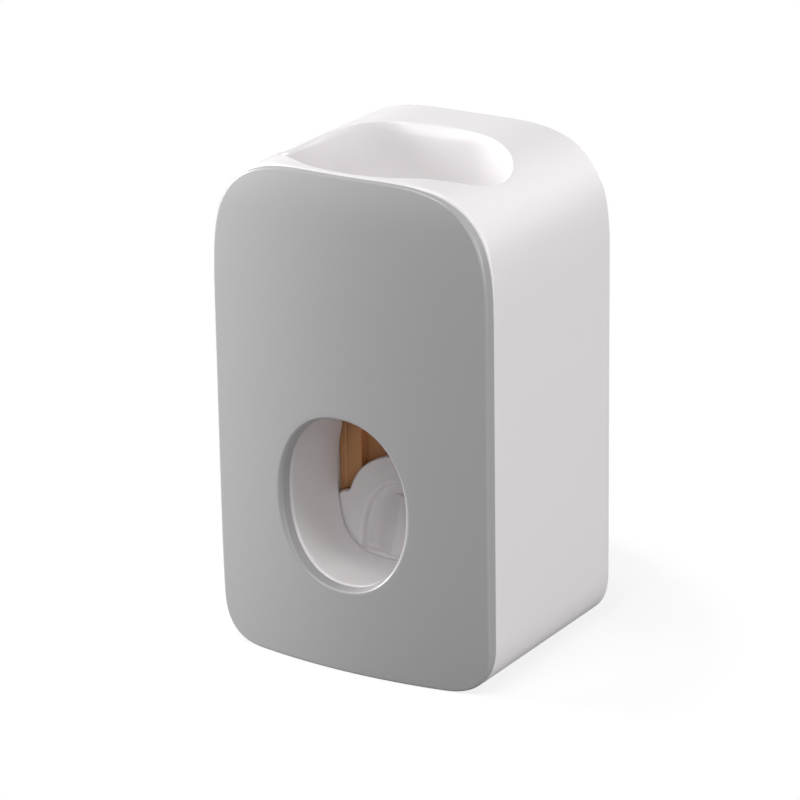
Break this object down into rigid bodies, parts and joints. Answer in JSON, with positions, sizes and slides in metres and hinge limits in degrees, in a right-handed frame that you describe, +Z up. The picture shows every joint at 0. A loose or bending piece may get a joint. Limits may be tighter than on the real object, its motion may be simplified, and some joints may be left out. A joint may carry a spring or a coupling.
{
  "type": "toothpaste dispenser",
  "caption": "Wall-mounted toothpaste dispenser with a tube bowl on top, an oval brush opening in the front and a hinged pusher that squeezes paste onto the brush.",
  "frame": {"origin": "centre of the object's box in plan, on the plane that its base stands on", "axes": "+Z up, the brush opening faces -Y, the wall is at +Y, +X to the right seen from the front with -Y towards the viewer"},
  "size_m": [0.067, 0.0564, 0.11],
  "materials": {
    "white_shell": "satin moulded plastic, white",
    "grey_panel": "satin moulded plastic, grey",
    "white_inner": "moulded plastic, natural white",
    "silicone": "translucent amber silicone",
    "steel": "stainless steel",
    "bush": "acetal",
    "soft_pad": "soft rubber",
    "foam": "adhesive foam"
  },
  "bodies": {
    "dispenser": {"housing": "white_shell", "front_panel": "grey_panel", "brush_guide": "white_shell", "back_cover": "white_shell", "cover_screws": "steel", "core_frame": "white_inner", "core_screws": "steel", "feed_cup": "white_inner", "cup_screws": "steel", "tube_seal": "silicone", "seal_retainer": "white_shell", "valve_seat": "white_inner", "inlet_valve": "silicone", "bladder": "silicone", "nozzle": "white_inner", "outlet_valve": "silicone", "pivot_pin": "steel", "pin_clips": "steel", "return_spring": "steel"},
    "pusher": {"pusher": "white_shell", "pivot_bushes": "bush", "press_pad": "soft_pad"},
    "wall_bracket": {"wall_plate": "white_inner", "adhesive_pad": "foam"}
  },
  "joints": [
    {"name": "pusher_hinge", "type": "hinge", "parent": "dispenser", "child": "pusher", "pos_m": [0, 0.00043, 0.012], "axis": [-1, 0, 0], "range_deg": [0, 12], "stiffness_Nm_per_rad": 0.1, "springref_deg": -11.46, "deforming": ["bladder", "return_spring"]},
    {"name": "wall_plate_slide", "type": "slide", "parent": "dispenser", "child": "wall_bracket", "axis": [0, 0, -1], "range_m": [0, 0.009]}
  ]
}
